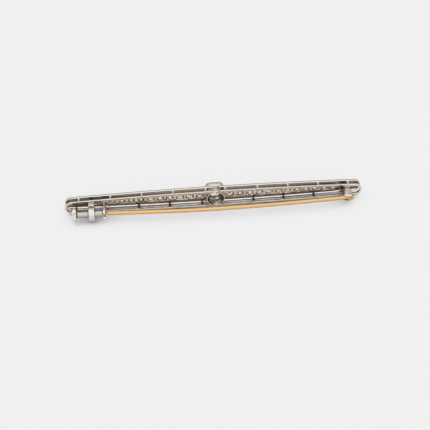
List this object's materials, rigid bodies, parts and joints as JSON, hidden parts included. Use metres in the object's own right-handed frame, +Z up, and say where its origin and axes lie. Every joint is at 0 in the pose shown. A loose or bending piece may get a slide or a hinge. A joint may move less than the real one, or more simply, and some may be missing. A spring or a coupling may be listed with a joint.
{
  "type": "diamond bar brooch",
  "caption": "Long white-metal bar brooch with a centre diamond, rows of diamonds, an open gallery and a yellow gold hinged pin with a sliding tube catch.",
  "frame": {"origin": "under the middle of the brooch's box, on the surface that it rests on, lying on its long side", "axes": "+X along the bar from the catch to the hinge, +Y out of the stones' face, +Z up across the bar's width"},
  "size_m": [0.07, 0.0079, 0.0047],
  "materials": {
    "white_metal": "polished, slightly worn",
    "yellow_gold": "drawn and polished",
    "diamond": "faceted and polished"
  },
  "bodies": {
    "frame": {"frame": "white_metal", "centre_diamond": "diamond", "hinge_rivet": "white_metal"},
    "pin": {"pin": "yellow_gold"},
    "slide": {"catch_slide": "white_metal"}
  },
  "joints": [
    {"name": "pin_hinge", "type": "hinge", "parent": "frame", "child": "pin", "pos_m": [0.0314, -0.00234, 0.00233], "axis": [0, 0, 1], "range_deg": [0, 80]},
    {"name": "catch_slide", "type": "slide", "parent": "frame", "child": "slide", "axis": [1, 0, 0], "range_m": [-0.0012, 0.0016]}
  ]
}
